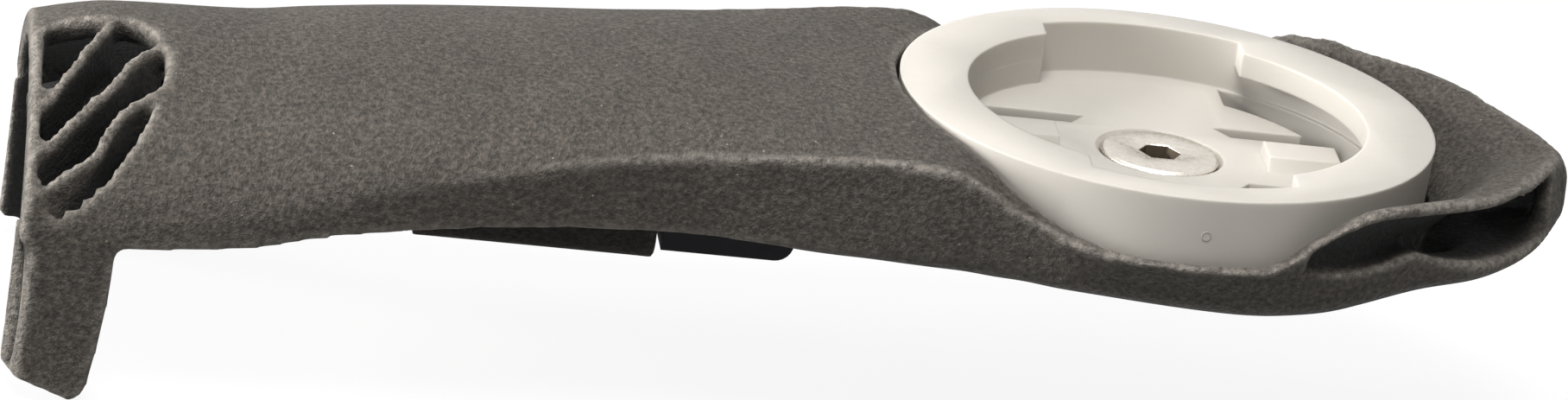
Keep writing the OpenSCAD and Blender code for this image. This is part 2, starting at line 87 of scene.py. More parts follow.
# %% Material helper
class Recipe:
    def __init__(self, name, color, roughness, **sockets):
        self.material = bpy.data.materials.new(name)
        self.material.use_nodes = True
        self.tree = self.material.node_tree
        self.shader = self.tree.nodes["Principled BSDF"]
        self.shader.inputs["Base Color"].default_value = (*color, 1.0)
        self.shader.inputs["Roughness"].default_value = roughness
        for key, value in sockets.items():
            self.shader.inputs[key.replace("_", " ")].default_value = value
        place = self.node("ShaderNodeTexCoord")
        scale = self.node("ShaderNodeVectorMath", operation="SCALE")
        scale.inputs["Scale"].default_value = 1.0 / MM
        self.link(place.outputs["Object"], scale.inputs[0])
        self.millimetres = scale.outputs[0]

    def node(self, kind, **settings):
        made = self.tree.nodes.new(kind)
        for key, value in settings.items():
            setattr(made, key, value)
        return made

    def link(self, a, b):
        self.tree.links.new(a, b)

    def noise(self, size_mm, detail=2.0, roughness=0.55):
        n = self.node("ShaderNodeTexNoise")
        n.inputs["Scale"].default_value = 1.0 / size_mm
        n.inputs["Detail"].default_value = detail
        n.inputs["Roughness"].default_value = roughness
        self.link(self.millimetres, n.inputs["Vector"])
        return n.outputs["Fac"]

    def cells(self, size_mm):
        n = self.node("ShaderNodeTexVoronoi")
        n.inputs["Scale"].default_value = 1.0 / size_mm
        self.link(self.millimetres, n.inputs["Vector"])
        return n

    def ramp(self, source, stops):
        r = self.node("ShaderNodeValToRGB")
        points = r.color_ramp.elements
        while len(points) < len(stops):
            points.new(0.5)
        for point, (at, value) in zip(points, stops):
            point.position = at
            point.color = (*value, 1.0) if len(value) == 3 else value
        self.link(source, r.inputs["Fac"])
        return r.outputs["Color"]

    def grey(self, source, stops):
        return self.ramp(source, [(at, (v, v, v)) for at, v in stops])

    def math(self, how, a, b):
        m = self.node("ShaderNodeMath", operation=how)
        for socket, value in zip(m.inputs, (a, b)):
            if isinstance(value, (int, float)):
                socket.default_value = value
            else:
                self.link(value, socket)
        return m.outputs[0]

    def mix(self, how, factor, a, b):
        m = self.node("ShaderNodeMix", data_type="RGBA", blend_type=how)
        for key, value in (("Factor", factor), ("A", a), ("B", b)):
            socket = [s for s in m.inputs if s.name == key and s.enabled][0]
            if isinstance(value, (int, float)):
                socket.default_value = value
            elif isinstance(value, tuple):
                socket.default_value = (*value, 1.0)
            else:
                self.link(value, socket)
        return [s for s in m.outputs if s.enabled][0]

    def bump(self, height, depth_mm, strength=1.0, under=None):
        b = self.node("ShaderNodeBump")
        b.inputs["Distance"].default_value = depth_mm * MM
        b.inputs["Strength"].default_value = strength
        self.link(height, b.inputs["Height"])
        if under is not None:
            self.link(under, b.inputs["Normal"])
        return b.outputs["Normal"]

    def finish(self, color=None, roughness=None, normal=None):
        for key, value in (("Base Color", color), ("Roughness", roughness), ("Normal", normal)):
            if value is not None:
                self.link(value, self.shader.inputs[key])
        return self.material


# %% [markdown]
# Sintered nylon is fused from powder in layers 0.1 mm thick. Its skin is matt and grainy, pitted where
# grains fell out and dusted with bright specks where powder stayed. Three sizes of noise make the
# grain, and two cell patterns the pits and the specks. Two values kept on the mesh change the colour:
# one pales the convex edges, partly as wear and partly as a painted highlight, and one darkens cavities
# and the underside of the keel with painted shade.


# %% Sintered nylon
def sintered_nylon(name):
    r = Recipe(name, (0.08, 0.072, 0.064), 0.72, Specular_IOR_Level=0.3)
    grain = r.noise(0.36, 3.0, 0.65)
    lumps = r.noise(1.1, 2.0, 0.5)
    dust = r.noise(0.12, 2.0, 0.7)
    wide = r.noise(9.0, 2.0, 0.5)
    pits = r.cells(1.3)
    pit = r.grey(pits.outputs["Distance"], [(0.0, 0.35), (0.09, 0.6), (0.17, 1.0)])
    specks = r.cells(0.9)
    speck = r.grey(specks.outputs["Distance"], [(0.0, 1.0), (0.05, 0.6), (0.10, 0.0)])
    some = r.grey(r.noise(1.7, 1.0), [(0.53, 0.0), (0.6, 1.0)])
    speck = r.math("MULTIPLY", speck, some)
    base = r.ramp(grain, [
        (0.3, (0.024, 0.021, 0.017)), (0.5, (0.054, 0.047, 0.039)), (0.7, (0.100, 0.087, 0.071)),
    ])
    cloudy = r.grey(wide, [(0.3, 0.86), (0.7, 1.1)])
    color = r.mix("MULTIPLY", 1.0, base, cloudy)
    color = r.mix("MULTIPLY", 0.5, color, pit)
    color = r.mix("MIX", speck, color, (0.36, 0.33, 0.29))
    # Convex edges are paled: partly wear, partly a painted edge highlight.
    edge = r.node("ShaderNodeAttribute", attribute_name="worn_edge_and_highlight").outputs["Fac"]
    worn_and_highlit_edge = r.math("MULTIPLY", edge, r.grey(r.noise(0.5, 2.0), [(0.35, 0.35), (0.6, 1.0)]))
    color = r.mix("MIX", worn_and_highlit_edge, color, (0.22, 0.2, 0.175))
    # Painted shade: the hollow value darkens the nylon in cavities, at the nose and rear end, and under
    # the keel.
    hollow = r.node("ShaderNodeAttribute", attribute_name="hollow").outputs["Fac"]
    depth = r.grey(hollow, [(0.3, 1.0), (0.55, 0.35), (0.78, 0.06)])
    color = r.mix("MULTIPLY", 1.0, color, depth)
    height = r.math("ADD", r.math("MULTIPLY", lumps, 0.8), grain)
    height = r.math("ADD", height, r.math("MULTIPLY", dust, 0.4))
    height = r.math("ADD", height, r.math("MULTIPLY", pit, 0.25))
    rough = r.grey(grain, [(0.3, 0.85), (0.7, 0.66)])
    return r.finish(color, rough, r.bump(height, 0.32, 1.0))


NYLON = sintered_nylon("sintered_nylon")
print("made", NYLON.name)

# %% [markdown]
# The socket is moulded in warm grey plastic, satin and even, with the faintest ripple.
# The screw is nickel plated, its head turned, so its brushing runs round the axis.


# %% Moulded plastic and metals
def moulded_plastic(name, color, roughness, ripple=0.01, gloss=0.45):
    r = Recipe(name, color, roughness, Specular_IOR_Level=gloss)
    tint = r.mix("MULTIPLY", 1.0, r.grey(r.noise(6.0, 2.0), [(0.2, 0.955), (0.8, 1.0)]), color)
    rough = r.grey(r.noise(0.7, 3.0), [(0.2, roughness - 0.05), (0.8, roughness + 0.08)])
    r.shader.inputs["Subsurface Weight"].default_value = 0.25 if color[0] > 0.2 else 0.0
    r.shader.inputs["Subsurface Scale"].default_value = 1.2 * MM
    r.shader.inputs["Subsurface Radius"].default_value = (1.0, 0.95, 0.85)
    corner = r.node("ShaderNodeBevel", samples=6)
    corner.inputs["Radius"].default_value = 0.22 * MM
    return r.finish(tint, rough, r.bump(r.noise(0.25, 3.0), ripple, 0.5, corner.outputs[0]))


def turned_metal(name, color, roughness):
    r = Recipe(name, color, roughness, Metallic=1.0)
    rings = r.node("ShaderNodeTexWave", wave_type="RINGS", rings_direction="Z")
    rings.inputs["Scale"].default_value = 3.0
    rings.inputs["Distortion"].default_value = 0.6
    r.link(r.millimetres, rings.inputs["Vector"])
    tint = r.mix("MULTIPLY", 1.0, r.grey(r.noise(0.5, 3.0), [(0.3, 0.86), (0.7, 1.0)]), color)
    rough = r.grey(r.noise(0.3, 3.0), [(0.3, roughness - 0.06), (0.7, roughness + 0.1)])
    return r.finish(tint, rough, r.bump(rings.outputs["Fac"], 0.004, 0.35))


GREY_PLASTIC = moulded_plastic("grey_moulded_plastic", (0.455, 0.428, 0.386), 0.46)
BLACK_PLASTIC = moulded_plastic("smooth_black_plastic", (0.008, 0.008, 0.010), 0.55, 0.006, 0.15)
NICKEL = turned_metal("nickel_plate", (0.74, 0.69, 0.62), 0.28)
STEEL = turned_metal("plain_steel", (0.55, 0.55, 0.54), 0.35)
BLACK_OXIDE = turned_metal("black_oxide", (0.09, 0.09, 0.095), 0.4)
BRASS = turned_metal("brass", (0.72, 0.52, 0.22), 0.3)
# Painted shade: a dark metal for the walls of the screw's key socket.
PAINTED_KEY_SHADE = turned_metal("screw_socket_shadow", (0.10, 0.08, 0.06), 0.5)
print("made", len(bpy.data.materials), "materials")

# %% [markdown]
# The arm is a loft: a list of stations along its length, each with a half width, the
# height of its crown and of its crease, and the place of its foot. A cubic curve through
# the stations gives a section anywhere. These are the CAD source's own sizes, drawn with
# many more sections, so that the long curves are smooth.

# %% Stations of the arm
REAR_X = -74.4
FRONT_X = 26.6
POCKET_R = 18.0
COLLAR_R = 19.05
INSERT_H = 5.6
DOME = 16.0
WAIST = 13.95
STATIONS = [
    (REAR_X, DOME, -3.1, -10.9, 0.5, DOME, -11.2, -11.3),
    (REAR_X + 2.4, DOME, -2.3, -10.9, 0.5, DOME, -11.2, -11.3),
    (REAR_X + 5.2, DOME, -1.7, -10.9, 0.5, DOME, -11.2, -11.3),
    (-60, DOME, -1.55, -9.2, 0.5, DOME, -10.2, -10.3),
    (-56, DOME - 0.1, -1.15, -7.7, 0.52, DOME - 0.1, -9.2, -9.3),
    (-52, DOME - 0.35, -0.85, -6.1, 0.56, DOME - 0.4, -8.5, -8.6),
    (-48, DOME - 0.7, -0.55, -4.95, 0.6, DOME - 0.9, -8.05, -8.15),
    (-44, WAIST + 0.95, -0.3, -3.95, 0.66, WAIST + 0.6, -7.7, -7.8),
    (-40, WAIST + 0.5, -0.05, -3.1, 0.74, WAIST + 0.1, -7.5, -7.6),
    (-36, WAIST + 0.15, 0.1, -2.4, 0.82, WAIST - 0.25, -7.4, -7.5),
    (-32, WAIST, 0.2, -1.85, 0.9, WAIST - 0.4, -7.3, -7.4),
    (-28, WAIST + 0.15, 0.1, -1.42, 1, WAIST - 0.2, -7.3, -7.6),
    (-24, WAIST + 0.45, 0.1, -0.98, 1, WAIST + 0.1, -7.1, -9.0),
    (-20, WAIST + 0.9, 0.1, -0.6, 1, WAIST + 0.5, -6.9, -9.3),
    (-16, WAIST + 1.65, 0.05, -0.6, 1, WAIST + 0.9, -6.8, -9.5),
    (-14, COLLAR_R - 3.1, 0, -1.2, 1, COLLAR_R - 4, -6.7, -9.6),
    (-12, COLLAR_R - 2.8, -0.3, -2.4, 1, COLLAR_R - 3.6, -6.7, -9.7),
    (-10, COLLAR_R - 2.2, -1.2, -3.1, 1, COLLAR_R - 3.2, -6.6, -9.8),
    (-8, COLLAR_R - 1.3, -2.5, -3.75, 1, COLLAR_R - 2.6, -6.6, -9.9),
    (-5, COLLAR_R - 0.45, -3.6, -4.15, 1, COLLAR_R - 2.2, -6.6, -10.1),
    (-1, COLLAR_R, -3.8, -4.3, 1, COLLAR_R - 2, -6.7, -10.4),
    (3, COLLAR_R - 0.1, -3.8, -4.25, 1, COLLAR_R - 2, -6.9, -10.5),
    (5.5, COLLAR_R - 0.5, -3.5, -3.8, 1, COLLAR_R - 2.2, -6.9, -10.5),
    (8, COLLAR_R - 0.8, -1.75, -1.8, 1, COLLAR_R - 2.7, -6.7, -10.4),
    (10, COLLAR_R - 1.15, -0.55, -0.6, 1, COLLAR_R - 3.2, -6.5, -10.1),
    (12, COLLAR_R - 2.2, 0, -0.05, 1, COLLAR_R - 4, -6.1, -9.7),
    (16, COLLAR_R - 4.5, 0, -0.05, 1, COLLAR_R - 5.8, -5.3, -8.8),
    (20, COLLAR_R - 7.2, -0.15, -0.2, 1, COLLAR_R - 7.6, -5.3, -7.8),
    (23, COLLAR_R - 11.1, -0.35, -0.4, 1, COLLAR_R - 10.9, -5.5, -7.1),
    (25, COLLAR_R - 14.8, -0.5, -0.55, 1, COLLAR_R - 14, -5.5, -6.6),
    (FRONT_X - 0.6, 2.2, -0.7, -0.75, 1, 3.2, -5.2, -6.1),
    (FRONT_X, 0.9, -0.9, -0.95, 1, 2, -4.9, -5.7),
    (FRONT_X + 0.7, 0.5, -2.2, -2.3, 1, 0.8, -4.4, -4.8),
]


def curve_at(rows, x, k):
    xs = [r[0] for r in rows]
    i = max(0, min(len(rows) - 2, int(np.searchsorted(xs, x, side="right")) - 1))

    def slope(j):
        a, b = max(0, j - 1), min(len(rows) - 1, j + 1)
        return (rows[b][k] - rows[a][k]) / (rows[b][0] - rows[a][0])

    h = rows[i + 1][0] - rows[i][0]
    u = (x - rows[i][0]) / h
    start, end = 2 * u**3 - 3 * u**2 + 1, 3 * u**2 - 2 * u**3
    lead, trail = u**3 - 2 * u**2 + u, u**3 - u**2
    return rows[i][k] * start + rows[i + 1][k] * end + h * (slope(i) * lead + slope(i + 1) * trail)


def section(x, shrink=0.0, low=None, deck=26, belly=18):
    w, crown, crease, power, foot_w, foot_z, belly_z = (
        curve_at(STATIONS, x, k) for k in range(1, 8)
    )
    w, crown, foot_w = w - shrink, crown - shrink, foot_w - shrink
    crease = min(crease - shrink, crown - 0.02)
    if low is not None:
        foot_z, belly_z = low, low - 0.1
    loop = []
    for i in range(-deck, deck + 1):
        s = math.sin(math.pi / 2 * i / deck)
        loop.append((x, w * s, crease + (crown - crease) * max(0.0, 1 - s * s) ** power))
    for i in range(-belly, belly + 1):
        s = -math.sin(math.pi / 2 * i / belly)
        loop.append((x, foot_w * s, foot_z - (foot_z - belly_z) * max(0.0, 1 - s * s) ** 0.5))
    return loop


print("section at the waist has", len(section(-32)), "points")

# %% [markdown]
# A loft joins each closed section to the next with quads and caps both ends. The same
# helper makes the arm and everything that is cut out of it.


# %% Loft helper
def new_object(name, mesh, *materials):
    made = bpy.data.objects.new(name, mesh)
    bpy.context.scene.collection.objects.link(made)
    for material in materials:
        mesh.materials.append(material)
    return made


def outward(mesh):
    b = bmesh.new()
    b.from_mesh(mesh)
    bmesh.ops.recalc_face_normals(b, faces=b.faces)
    b.to_mesh(mesh)
    b.free()
    return mesh


def loft(name, rows):
    n = len(rows[0])
    points = [tuple(c * MM for c in p) for row in rows for p in row]
    faces = [tuple(range(n)), tuple((len(rows) - 1) * n + j for j in range(n))]
    for i in range(len(rows) - 1):
        for j in range(n):
            k = (j + 1) % n
            faces.append((i * n + j, i * n + k, (i + 1) * n + k, (i + 1) * n + j))
    mesh = bpy.data.meshes.new(name)
    mesh.from_pydata(points, [], faces)
    return new_object(name, outward(mesh))


def prism(name, plan, low, high):
    return loft(name, [[(x, y, low) for x, y in plan], [(x, y, high) for x, y in plan]])


def disc(radius, count=128, x=0.0, y=0.0):
    return [
        (x + radius * math.cos(2 * math.pi * i / count), y + radius * math.sin(2 * math.pi * i / count))
        for i in range(count)
    ]


def spaced(a, b, n):
    return [a + (b - a) * i / n for i in range(n + 1)]


body_xs = spaced(REAR_X, -66, 28) + spaced(-65.5, -17, 98) + spaced(-16.7, -5, 40)
body_xs += spaced(-4.7, 12, 40) + spaced(12.4, 25, 32) + spaced(25.2, FRONT_X + 0.7, 10)
arm = loft("printed_arm", [section(x) for x in body_xs])
print("arm loft:", len(arm.data.vertices), "points")

# %% [markdown]
# The nose is a scoop round the front of the socket. Its upper lip rises to the rim's level
# and dishes down to the socket, and a mouth opens below it on both sides. The bowl and the
# mouth are cutters that follow the outline of the nose from one side round to the other.

# %% Bowl and mouth of the nose
LIP_T = 0.8
LOW_LIP = [
    (5, -4.5), (8, -4.45), (12, -4.4), (14, -4.1), (15.8, -3.55), (17, -4.0), (19, -4.5),
    (22, -4.9), (25, -5.15), (26, -4.4), (27.5, -2.6),
]


def nose_line(first=5.5):
    xs = spaced(first, 24, 44) + spaced(24.3, 26.1, 10)
    half = [(x, curve_at(STATIONS, x, 1), curve_at(STATIONS, x, 3)) for x in xs]
    return [(x, -w, z) for x, w, z in half] + [(FRONT_X, 0.0, -0.95)] + [
        (x, w, z) for x, w, z in reversed(half)
    ]


def toward(p, radius):
    reach = math.hypot(p[0], p[1])
    return p[0] * radius / reach, p[1] * radius / reach


def bowl_z(s, z):
    return z - (z + 4.6) * (1 - max(0.0, min(1.0, s))) ** 2


def bowl_rows():
    rows = []
    for p in nose_line():
        inner = POCKET_R - 0.3
        outer = max(math.hypot(p[0], p[1]) - LIP_T, inner + 0.1)
        row = []
        for s in spaced(0, 1, 14):
            row.append((*toward(p, inner + (outer - inner) * s), bowl_z(s, p[2] - 0.05)))
        row += [(*toward(p, outer), 6.0), (*toward(p, inner), 6.0)]
        rows.append(row)
    return rows


def mouth_top(at, reach, z):
    if at < POCKET_R + 0.45:
        return -INSERT_H - LIP_T
    inner = POCKET_R - 0.3
    return bowl_z((at - inner) / (reach - LIP_T - inner), z) - LIP_T - 0.05


def mouth_rows():
    rows = []
    for p in nose_line(7.6):
        reach = math.hypot(p[0], p[1])
        k = max(0.0, min(1.0, (p[0] - 11) / 3))
        if abs(p[1]) < 1.2 and p[0] > 25:
            continue
        outer = reach - 1.1 if abs(p[1]) < 3.2 else reach + 2.5
        wall = max(reach - 3.0, POCKET_R + 0.55)
        inner = wall - 0.2 - k * (wall - 0.2 - min(POCKET_R - 0.6, reach - 3))
        lip = min(curve_at(LOW_LIP, p[0], 1), p[2] - LIP_T - 0.1)
        upper = p[2] - LIP_T + 0.1
        edge = max(wall + 0.1, min(outer - 0.1, reach - 0.45))
        floor = min(lip - 0.05, max(lip - 0.1 - 2.2 * k, -7.6 + (p[0] - 16) * 0.27))
        row = [(*toward(p, inner), max(floor + 0.05, mouth_top(inner, reach, p[2])))]
        for s in (0.4, 0.75):
            at = inner + (wall - inner) * s
            row.append((*toward(p, at), max(floor + 0.07, mouth_top(at, reach, p[2]))))
        row.append((*toward(p, wall), min(upper - 0.05, max(mouth_top(wall, reach, p[2]), lip + 0.1))))
        between = wall + (edge - wall) * 0.5
        top = max(mouth_top(between, reach, p[2]), lip + 0.15)
        row.append((*toward(p, between), min(upper - 0.02, top)))
        row += [(*toward(p, edge), upper), (*toward(p, outer), upper)]
        row += [(*toward(p, outer), lip), (*toward(p, wall), lip)]
        row.append((*toward(p, inner + (wall - inner) * 0.6), floor))
        row.append((*toward(p, inner), floor))
        rows.append(row)
    return rows


bowl = loft("bowl_cutter", bowl_rows())
mouth = loft("mouth_cutter", mouth_rows())
print("bowl and mouth cutters made")

# %% [markdown]
# The rear of the arm is a thin shell, open below, so that it can sit over a stem. The near
# flank of its end has a window onto curved ribs, as a printed part can have. The window's
# plan and the hollow are cut here.

# %% Hollow, window and bores
WALL = 1.6
SCREW_BORE_R = 2.25
NUT_FLATS = 7.0
NUT_GAP = 0.25
NUT_SEAT = -7.2
UNDER_ALL = -14.0
WINDOW_X = REAR_X + 0.9
WINDOW_LOW = -9.9
WINDOW_PLAN = [
    (0.5, 1.3), (3.6, 1.5), (5.9, 0.6), (7.3, -2.0), (7.7, -5.0), (7.3, -8.4), (6.2, -11.6),
    (4.4, -14.2), (2.2, -15.3), (0.7, -15.6), (0.0, -14.6), (-0.1, -8.0), (0.0, -1.0),
]


def bend(a, b, c, d, t):
    """Point of a Catmull-Rom curve between b and c."""
    return tuple(0.5 * (2 * b + (c - a) * t + (2 * a - 5 * b + 4 * c - d) * t**2
                        + (3 * b - a - 3 * c + d) * t**3))


def round_plan(points, per=6):
    """Smooth closed curve through the points of a plan."""
    out = []
    n = len(points)
    for i in range(n):
        a, b, c, d = (np.array(points[(i + k) % n]) for k in (-1, 0, 1, 2))
        out += [bend(a, b, c, d, s / per) for s in range(per)]
    return out


hollow_xs = [REAR_X - 3, REAR_X - 0.5] + spaced(REAR_X, -24.6, 60)
hollow = loft("hollow_cutter", [
    [(x, p[1], p[2]) for p in section(max(x, REAR_X), WALL, -30)] for x in hollow_xs
])
window = prism("window_cutter", [(WINDOW_X + x, y) for x, y in round_plan(WINDOW_PLAN)],
               WINDOW_LOW, 2.0)
pocket = prism("pocket_cutter", disc(POCKET_R, 256), -INSERT_H, 8.0)
screw_bore = prism("screw_bore_cutter", disc(SCREW_BORE_R, 48), UNDER_ALL, 0.0)
NUT_R = NUT_FLATS / 2 / math.cos(math.pi / 6) + NUT_GAP
nut_trap = prism("nut_trap_cutter", disc(NUT_R, 6), UNDER_ALL, NUT_SEAT)
cutters = [hollow, window, bowl, mouth, pocket, screw_bore, nut_trap]
print("cutters:", [c.name for c in cutters])

# %% [markdown]
# Added to the shell are the window's floor, the two hanging tabs and the keel under the
# middle. The tabs are lofted downwards and lean back; each has a lens-shaped hollow in its
# rear face.

# %% Tabs, floor and keel
TAB_TOP = -10.7
TAB_LOW = -20.6
TAB_T = 3.2
TAB_X = REAR_X + 0.6
FLOOR_SINK = 4.4
KEEL_START, KEEL_END, KEEL_LOW, KEEL_HALF = -49.0, -33.2, -11.2, 8.0
PLATE_END, PLATE_TOP = -24.3, -8.2
BUSH_R, BUSH_MID, BUSH_FROM_MID, BUSH_TOP = 2.82, -41.1, 4, -6.2
CORE_TOP = -2.2


def apply_cuts(target, tools, solver="MANIFOLD"):
    for tool in tools:
        cut = target.modifiers.new("cut", "BOOLEAN")
        cut.operation, cut.solver, cut.object = "DIFFERENCE", solver, tool
    return bake_down(target, tools)


def bake_down(target, spent=()):
    """Turns an object with its modifiers into a plain mesh, and drops the tools."""
    scene_now = bpy.context.evaluated_depsgraph_get()
    mesh = bpy.data.meshes.new_from_object(target.evaluated_get(scene_now))
    target.modifiers.clear()
    old = target.data
    target.data = mesh
    bpy.data.meshes.remove(old)
    for tool in spent:
        bpy.data.objects.remove(tool)
    return target


def tab(side):
    rows = []
    for s in spaced(0, 0.9, 14) + spaced(0.91, 1.0, 8):
        z = TAB_TOP + (TAB_LOW - TAB_TOP) * s
        front = TAB_X + 5.7 - 1.1 * s * s - 0.1 - max(0.0, s - 0.93) ** 2 * 130
        y = DOME - 0.15 * s
        back = TAB_X - 0.225 * s * s + max(0.0, s - 0.95) ** 2 * 160
        drop = 1.1 * s
        rows.append([
            (back - 0.8, side * (y - TAB_T), z), (front - 0.2, side * (y - TAB_T * 0.6), z - drop),
            (front, side * (y - 0.3), z - drop), (front - 0.3, side * y, z - drop),
            (back + 0.4, side * y, z), (back + 0.15, side * (y - 0.15), z),
        ])
    return loft("tab", rows)


def tab_hollow(side):
    rows = []
    middle = (TAB_TOP + TAB_LOW) / 2 - 0.4
    for a in spaced(-80, 80, 24):
        rise = math.sin(math.radians(a)) * 4.6
        wide = max(0.03, math.cos(math.radians(a))) ** 0.55
        rows.append([
            (TAB_X - 2.4 + 4.2 * wide * math.cos(t),
             side * (DOME - TAB_T / 2 - 0.05) + 1.28 * wide * math.sin(t), middle + rise)
            for t in [2 * math.pi * k / 16 for k in range(16)]
        ])
    return loft("tab_hollow_cutter", rows)


def dome_floor():
    rows_out = [[(p[0], p[1], p[2] - FLOOR_SINK) for p in section(x, 0.15, -17.2)]
                for x in spaced(REAR_X + 0.3, WINDOW_X + 8.6, 12)]
    rows_in = [[(p[0], p[1], p[2] - FLOOR_SINK - 1.1) for p in section(max(x, REAR_X), 0.4, -18)]
               for x in spaced(REAR_X - 1, WINDOW_X + 9.6, 12)]
    shell, inside = loft("window_floor", rows_out), loft("floor_cutter", rows_in)
    below = prism("below_cutter", [(-80, -18), (-60, -18), (-60, 18), (-80, 18)], -30, WINDOW_LOW)
    far = prism("far_cutter", [(-80, 3.4), (-60, 3.4), (-60, 18), (-80, 18)], -31, 5)
    return apply_cuts(shell, [inside, below, far])


arm = apply_cuts(arm, cutters)
print("arm after its cuts:", len(arm.data.polygons), "faces")
tabs = [tab(side) for side in (-1, 1)]
floor_piece = dome_floor()


def slab(name, x0, x1, half, low, high):
    return prism(name, [(x0, -half), (x1, -half), (x1, half), (x0, half)], low, high)


keel = apply_cuts(slab("keel", KEEL_START, KEEL_END, KEEL_HALF, KEEL_LOW, CORE_TOP), [
    prism("bush_cutter", disc(BUSH_R, 40, BUSH_MID + BUSH_FROM_MID * i), -13, BUSH_TOP)
    for i in (-1, 1)
])
carrier = slab("plate_carrier", KEEL_END - 0.5, PLATE_END + 1.0, KEEL_HALF, PLATE_TOP, CORE_TOP)
print("tabs, floor and keel made")

# %% [markdown]
# Three curved ribs cross the window. Each is a thin wall that follows a path in plan, a
# little below the skin, down to the window's floor. Geometry Nodes sweep a narrow upright
# rectangle along each path, so the width and the depth are named inputs.

# %% Ribs swept by Geometry Nodes
RIB_LOW = -10.4
RIB_PATHS = [
    [(-0.3, -9.2), (0.6, -8.0), (1.4, -6.2), (2.2, -4.4), (2.8, -2.6), (3.8, -0.2), (4.5, 2.2)],
    [(-0.5, -13.8), (0.0, -12.7), (1.0, -11.8), (2.1, -10.5), (3.2, -9.1), (4.4, -7.4),
     (5.2, -5.6), (5.9, -4.1), (7.6, -2.2)],
    [(-0.2, -15.2), (1.0, -14.5), (2.2, -13.9), (3.7, -12.7), (4.6, -10.9), (5.8, -9.3),
     (7.8, -7.6)],
]


def deck_z(x, y):
    w, crown, crease, power = (curve_at(STATIONS, x, k) for k in range(1, 5))
    s = min(1.0, abs(y) / w)
    return crease + (crown - min(crease, crown)) * (1 - s * s) ** power


def round_path(points, per=5):
    ends = [points[0], *points, points[-1]]
    out = []
    for i in range(1, len(ends) - 2):
        a, b, c, d = (np.array(ends[i + k]) for k in (-1, 0, 1, 2))
        out += [bend(a, b, c, d, k / per) for k in range(per)]
    return out + [points[-1]]


def rib_tree():
    tree = bpy.data.node_groups.new("swept_rib", "GeometryNodeTree")
    face = tree.interface
    face.new_socket("Geometry", in_out="INPUT", socket_type="NodeSocketGeometry")
    for name, value in (("Width", 0.0008), ("Depth", 0.0034), ("Ruffle", 0.0001)):
        made = face.new_socket(name, in_out="INPUT", socket_type="NodeSocketFloat")
        made.default_value = value
    face.new_socket("Seed", in_out="INPUT", socket_type="NodeSocketFloat").default_value = 3.0
    face.new_socket("Material", in_out="INPUT", socket_type="NodeSocketMaterial")
    face.new_socket("Geometry", in_out="OUTPUT", socket_type="NodeSocketGeometry")
    n = {
        key: tree.nodes.new(kind) for key, kind in {
            "in": "NodeGroupInput", "out": "NodeGroupOutput", "curve": "GeometryNodeMeshToCurve",
            "steps": "GeometryNodeResampleCurve", "upright": "GeometryNodeSetCurveNormal",
            "bar": "GeometryNodeCurvePrimitiveQuadrilateral", "sweep": "GeometryNodeCurveToMesh",
            "noise": "ShaderNodeTexNoise", "centre": "ShaderNodeVectorMath",
            "by": "ShaderNodeVectorMath", "move": "GeometryNodeSetPosition",
            "real": "GeometryNodeRealizeInstances", "paint": "GeometryNodeSetMaterial",
        }.items()
    }
    n["steps"].mode = "LENGTH"
    n["steps"].inputs["Length"].default_value = 0.0003
    n["upright"].mode = "Z_UP"
    n["noise"].noise_dimensions = "4D"
    n["noise"].inputs["Scale"].default_value = 700.0
    n["centre"].operation = "SUBTRACT"
    n["centre"].inputs[1].default_value = (0.5, 0.5, 0.5)
    n["by"].operation = "SCALE"
    n["sweep"].inputs["Fill Caps"].default_value = True
    for a, b in [
        (n["in"].outputs["Geometry"], n["curve"].inputs["Mesh"]),
        (n["curve"].outputs[0], n["steps"].inputs["Curve"]),
        (n["steps"].outputs[0], n["upright"].inputs["Curve"]),
        (n["upright"].outputs[0], n["sweep"].inputs["Curve"]),
        (n["in"].outputs["Width"], n["bar"].inputs["Width"]),
        (n["in"].outputs["Depth"], n["bar"].inputs["Height"]),
        (n["bar"].outputs[0], n["sweep"].inputs["Profile Curve"]),
        (n["in"].outputs["Seed"], n["noise"].inputs["W"]),
        (n["noise"].outputs["Color"], n["centre"].inputs[0]),
        (n["centre"].outputs[0], n["by"].inputs[0]),
        (n["in"].outputs["Ruffle"], n["by"].inputs["Scale"]),
        (n["sweep"].outputs[0], n["move"].inputs["Geometry"]),
        (n["by"].outputs[0], n["move"].inputs["Offset"]),
        (n["move"].outputs[0], n["real"].inputs[0]),
        (n["real"].outputs[0], n["paint"].inputs["Geometry"]),
        (n["in"].outputs["Material"], n["paint"].inputs["Material"]),
        (n["paint"].outputs[0], n["out"].inputs["Geometry"]),
    ]:
        tree.links.new(a, b)
    return tree


def swept_ribs(width, depth, sink):
    points, edges = [], []
    for path in RIB_PATHS:
        start = len(points)
        for x, y in round_path(path):
            x = WINDOW_X + x
            z = deck_z(max(x, REAR_X), y) - sink - depth / 2
            points.append((x * MM, float(y) * MM, z * MM))
        edges += [(i, i + 1) for i in range(start, len(points) - 1)]
    mesh = bpy.data.meshes.new("rib_paths")
    mesh.from_pydata(points, edges, [])
    ribs = new_object("window_ribs", mesh)
    sweep = ribs.modifiers.new("sweep", "NODES")
    sweep.node_group = rib_tree()
    sockets = {i.name: i.identifier for i in sweep.node_group.interface.items_tree
               if i.in_out == "INPUT"}
    for name, value in (("Width", width * MM), ("Depth", depth * MM), ("Ruffle", 0.12 * MM),
                        ("Seed", 3.0), ("Material", NYLON)):
        sweep[sockets[name]] = value
    ribs = bake_down(ribs)
    outward(ribs.data)
    for point in ribs.data.vertices:
        point.co.z = max(point.co.z, RIB_LOW * MM)
        point.co.x = max(point.co.x, (REAR_X + 0.3) * MM)
    return ribs


ribs = swept_ribs(0.6, 4.6, 0.25)
tall = [v.co.z * 1000 for v in ribs.data.vertices]
print("ribs:", len(ribs.data.polygons), "faces, z", round(min(tall), 1), "to", round(max(tall), 1))
